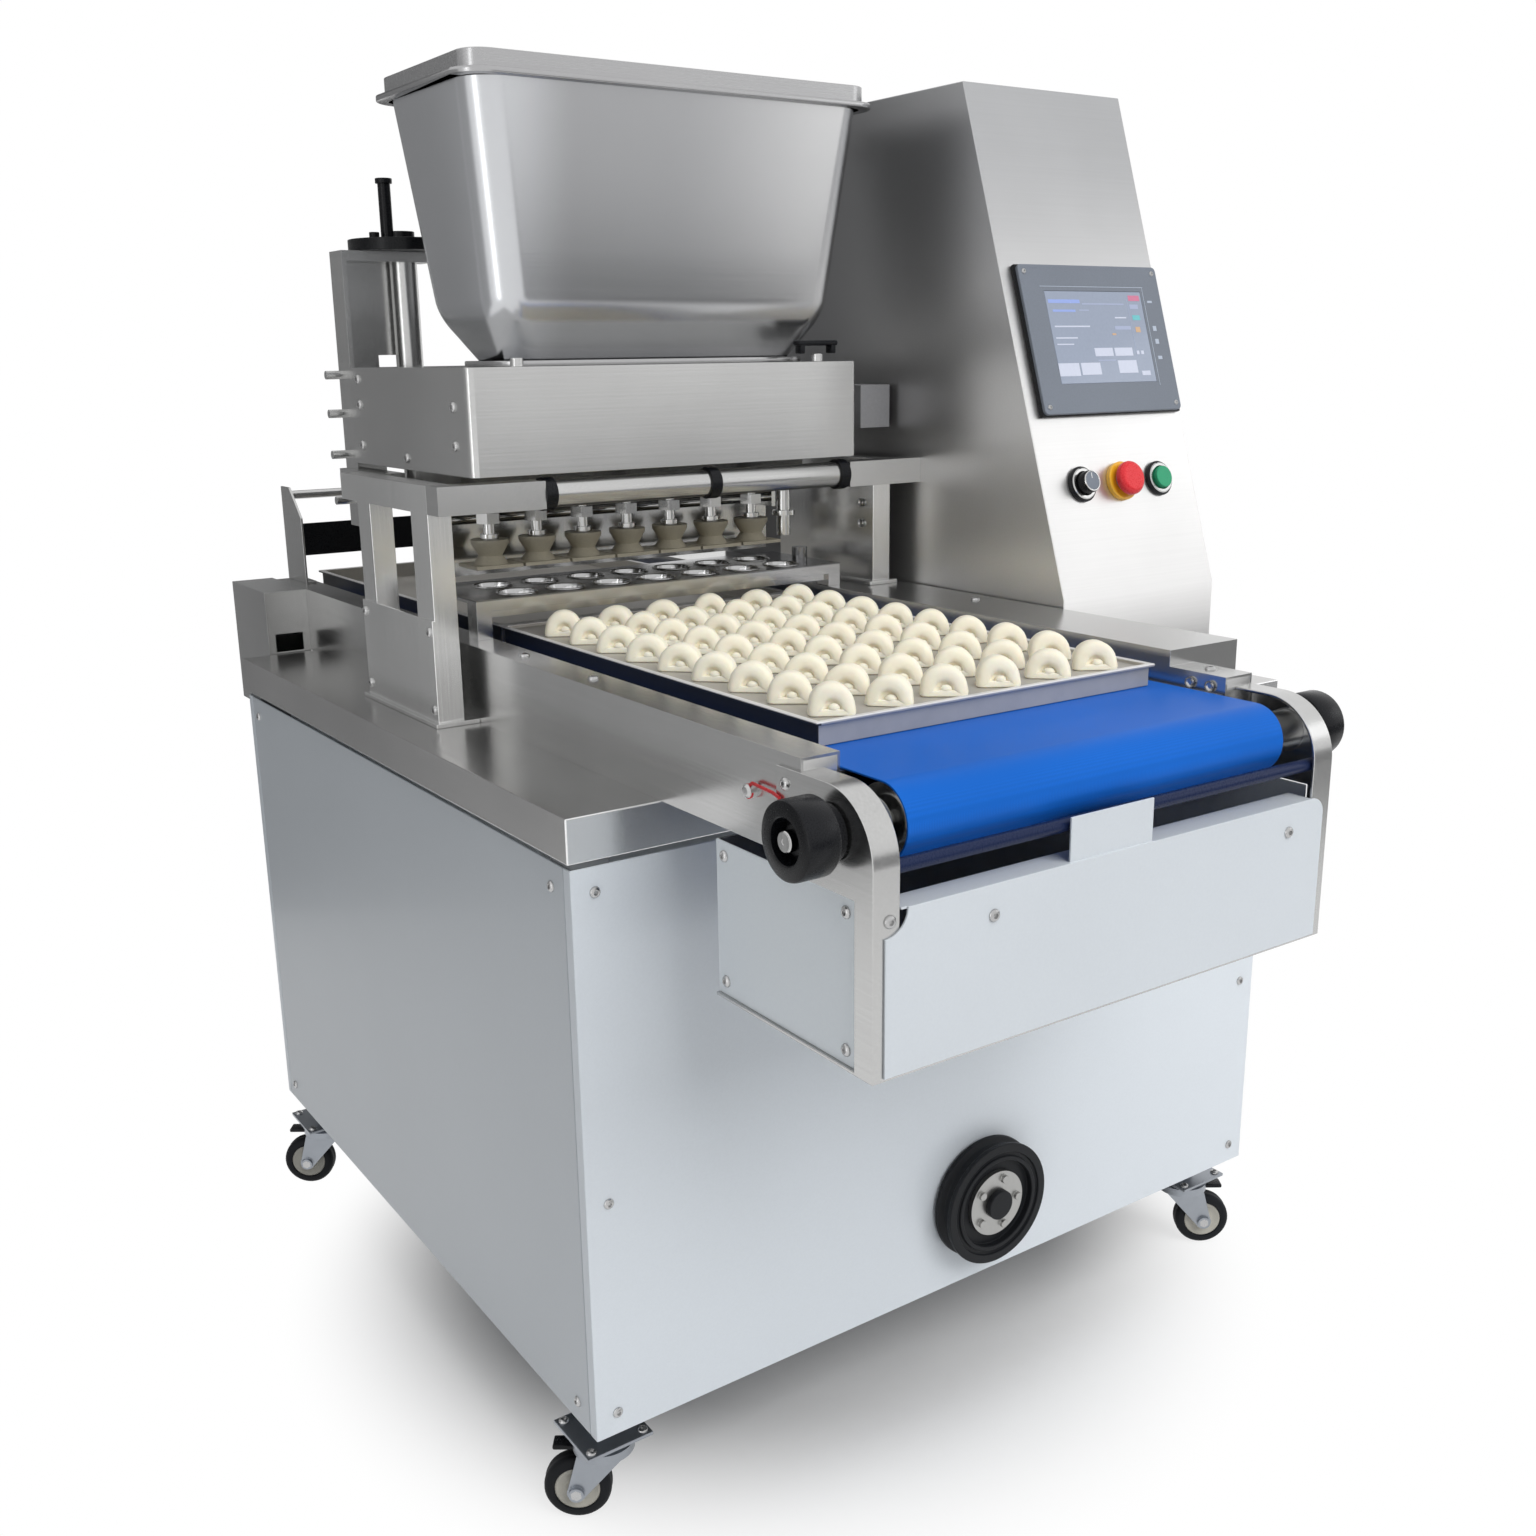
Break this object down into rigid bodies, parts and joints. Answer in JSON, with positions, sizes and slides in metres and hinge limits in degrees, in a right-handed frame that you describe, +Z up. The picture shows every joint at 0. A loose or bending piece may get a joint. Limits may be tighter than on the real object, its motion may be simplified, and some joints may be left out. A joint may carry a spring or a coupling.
{
  "type": "cookie depositor",
  "caption": "Wheeled cookie depositor: white cabinet, belt conveyor with baking trays, roller-fed depositing head under a steel hopper, and a leaning control column with display and buttons.",
  "frame": {"origin": "on the floor, under the middle of the overall box", "axes": "+Z up, -Y towards the conveyor nose where the trays come out, +X towards the control column"},
  "size_m": [0.9864, 1.395, 1.457],
  "materials": {
    "white_enamel": "smooth satin powder coat, white with a faint blue cast",
    "frame_steel": "grey painted square tube",
    "worktop_steel": "stainless sheet brushed along its length",
    "stainless": "fine brushed stainless sheet",
    "column_steel": "stainless sheet brushed upright",
    "hopper_steel": "stainless sheet, satin, with soft pressed corners",
    "polished_steel": "turned and polished stainless",
    "screw_steel": "plain stainless screw heads",
    "zinc_steel": "bright zinc plated pressed steel",
    "tyre_rubber": "black tyre on a grey rim",
    "black_rubber": "black rubber wheel, satin",
    "cast_hub": "machined hub with bolts",
    "black_plastic": "black moulded plastic",
    "blue_belt": "blue food belt, smooth satin",
    "navy_tube": "dark blue sleeve on a tube",
    "red_plastic": "bright red moulded plastic",
    "green_plastic": "green moulded button cap",
    "bezel_metal": "yellow stop collar, chromed rings beside it",
    "tray_metal": "bare sheet with light use marks",
    "dough": "soft pale cookie dough",
    "mould_metal": "dark polished metal",
    "cream_plastic": "cream moulded nozzle plastic",
    "motor_metal": "cast gearbox and motor shell",
    "slate_plastic": "slate grey display bezel",
    "screen_glass": "lit screen behind clear glass"
  },
  "bodies": {
    "chassis": {"base_frame": "frame_steel", "front_panel": "white_enamel", "rear_panel": "white_enamel", "left_panel": "white_enamel", "right_panel": "white_enamel", "worktop": "worktop_steel", "case_screws": "screw_steel", "cable_gland": "black_plastic", "caster_plates": "zinc_steel", "left_rail": "stainless", "right_rail": "stainless", "slider_bed": "stainless", "conveyor_belt": "blue_belt", "nose_frame": "stainless", "front_cover": "white_enamel", "side_covers": "white_enamel", "scraper_bar": "navy_tube", "cup_mould": "mould_metal", "infeed_guard": "stainless", "guard_panel": "black_plastic", "rear_box": "stainless", "left_portal": "stainless", "right_portal": "stainless", "cross_bar": "polished_steel", "bar_collars": "black_plastic", "lift_column": "stainless", "control_column": "column_steel", "hmi_panel": "slate_plastic", "hmi_screen": "screen_glass", "button_bezels": "bezel_metal"},
    "pulley": {"pulley_wheel": "black_rubber", "pulley_hub": "cast_hub"},
    "drive_shaft": {"drive_roller": "polished_steel", "drive_knobs": "black_plastic"},
    "tail_shaft": {"tail_roller": "polished_steel"},
    "belt_lever": {"release_lever": "red_plastic"},
    "filled_tray": {"baking_tray": "tray_metal", "dough_pieces": "dough"},
    "empty_tray": {"infeed_tray": "tray_metal"},
    "head": {"head_casing": "stainless", "head_screws": "screw_steel", "nozzle_manifold": "polished_steel", "nozzle_tips": "cream_plastic", "gear_motor": "motor_metal"},
    "feed_front": {"feed_roller_front": "polished_steel"},
    "feed_rear": {"feed_roller_rear": "polished_steel"},
    "hopper_body": {"hopper": "hopper_steel"},
    "lid": {"hopper_lid": "hopper_steel"},
    "lift_wheel": {"handwheel": "black_plastic"},
    "stop_head": {"estop_button": "red_plastic"},
    "start_cap": {"start_button": "green_plastic"},
    "selector": {"selector_knob": "black_plastic"},
    "fork_fl": {"caster_fork_fl": "zinc_steel"},
    "wheel_fl": {"caster_wheel_fl": "tyre_rubber"},
    "fork_fr": {"caster_fork_fr": "zinc_steel"},
    "wheel_fr": {"caster_wheel_fr": "tyre_rubber"},
    "fork_rl": {"caster_fork_rl": "zinc_steel"},
    "wheel_rl": {"caster_wheel_rl": "tyre_rubber"},
    "fork_rr": {"caster_fork_rr": "zinc_steel"},
    "wheel_rr": {"caster_wheel_rr": "tyre_rubber"}
  },
  "joints": [
    {"name": "caster_swivel_fl", "type": "hinge", "parent": "chassis", "child": "fork_fl", "pos_m": [-0.437, -0.3195, 0.086], "axis": [0, 0, 1], "continuous": true},
    {"name": "caster_roll_fl", "type": "hinge", "parent": "fork_fl", "child": "wheel_fl", "pos_m": [-0.45994, -0.30344, 0.035], "axis": [0.5736, 0.8192, 0], "continuous": true},
    {"name": "caster_swivel_fr", "type": "hinge", "parent": "chassis", "child": "fork_fr", "pos_m": [0.437, -0.3195, 0.086], "axis": [0, 0, 1], "continuous": true},
    {"name": "caster_roll_fr", "type": "hinge", "parent": "fork_fr", "child": "wheel_fr", "pos_m": [0.45994, -0.33556, 0.035], "axis": [0.5736, 0.8192, 0], "continuous": true},
    {"name": "caster_swivel_rl", "type": "hinge", "parent": "chassis", "child": "fork_rl", "pos_m": [-0.437, 0.5075, 0.086], "axis": [0, 0, 1], "continuous": true},
    {"name": "caster_roll_rl", "type": "hinge", "parent": "fork_rl", "child": "wheel_rl", "pos_m": [-0.45994, 0.52356, 0.035], "axis": [0.5736, 0.8192, 0], "continuous": true},
    {"name": "caster_swivel_rr", "type": "hinge", "parent": "chassis", "child": "fork_rr", "pos_m": [0.437, 0.5075, 0.086], "axis": [0, 0, 1], "continuous": true},
    {"name": "caster_roll_rr", "type": "hinge", "parent": "fork_rr", "child": "wheel_rr", "pos_m": [0.45994, 0.49144, 0.035], "axis": [0.5736, 0.8192, 0], "continuous": true},
    {"name": "pulley_spin", "type": "hinge", "parent": "chassis", "child": "pulley", "pos_m": [0.02, -0.3965, 0.24], "axis": [0, -1, 0], "continuous": true},
    {"name": "drive_roller_spin", "type": "hinge", "parent": "chassis", "child": "drive_shaft", "pos_m": [-0.115, -0.6415, 0.808], "axis": [1, 0, 0], "continuous": true},
    {"name": "tail_roller_spin", "type": "hinge", "parent": "chassis", "child": "tail_shaft", "pos_m": [-0.115, 0.6375, 0.808], "axis": [1, 0, 0], "continuous": true},
    {"name": "lever_swing", "type": "hinge", "parent": "chassis", "child": "belt_lever", "pos_m": [-0.3873, -0.5325, 0.816], "axis": [1, 0, 0], "range_deg": [0, 60]},
    {"name": "tray_travel", "type": "slide", "parent": "chassis", "child": "filled_tray", "axis": [0, -1, 0], "range_m": [0, 0.14]},
    {"name": "infeed_tray_travel", "type": "slide", "parent": "chassis", "child": "empty_tray", "axis": [0, -1, 0], "range_m": [0, 0.14]},
    {"name": "head_lift", "type": "slide", "parent": "chassis", "child": "head", "axis": [0, 0, 1], "range_m": [0, 0.04]},
    {"name": "handwheel_turn", "type": "hinge", "parent": "chassis", "child": "lift_wheel", "pos_m": [-0.29, 0.3565, 1.29], "axis": [0, 0, 1], "range_deg": [0, 721]},
    {"name": "feed_front_spin", "type": "hinge", "parent": "head", "child": "feed_front", "pos_m": [-0.13, 0.0595, 1.0923], "axis": [1, 0, 0], "continuous": true},
    {"name": "feed_rear_spin", "type": "hinge", "parent": "head", "child": "feed_rear", "pos_m": [-0.13, 0.1235, 1.0923], "axis": [1, 0, 0], "continuous": true},
    {"name": "hopper_lift", "type": "slide", "parent": "head", "child": "hopper_body", "axis": [0, 0, 1], "range_m": [0, 0.12]},
    {"name": "lid_lift", "type": "slide", "parent": "hopper_body", "child": "lid", "axis": [0, 0, 1], "range_m": [0, 0.12]},
    {"name": "stop_push", "type": "slide", "parent": "chassis", "child": "stop_head", "axis": [0, 0.9498, -0.3128], "range_m": [0, 0.005], "stiffness_N_per_m": 600},
    {"name": "start_push", "type": "slide", "parent": "chassis", "child": "start_cap", "axis": [0, 0.9498, -0.3128], "range_m": [0, 0.003], "stiffness_N_per_m": 400},
    {"name": "selector_turn", "type": "hinge", "parent": "chassis", "child": "selector", "pos_m": [0.2825, -0.2382, 1.0054], "axis": [0, -0.9498, 0.3128], "range_deg": [0, 90]}
  ],
  "couplings": [
    {"joint": "tail_roller_spin", "follows": "drive_roller_spin", "ratio": 1},
    {"joint": "infeed_tray_travel", "follows": "tray_travel", "ratio": 1},
    {"joint": "handwheel_turn", "follows": "head_lift", "rad_per_m": 314},
    {"joint": "feed_rear_spin", "follows": "feed_front_spin", "ratio": -1}
  ]
}
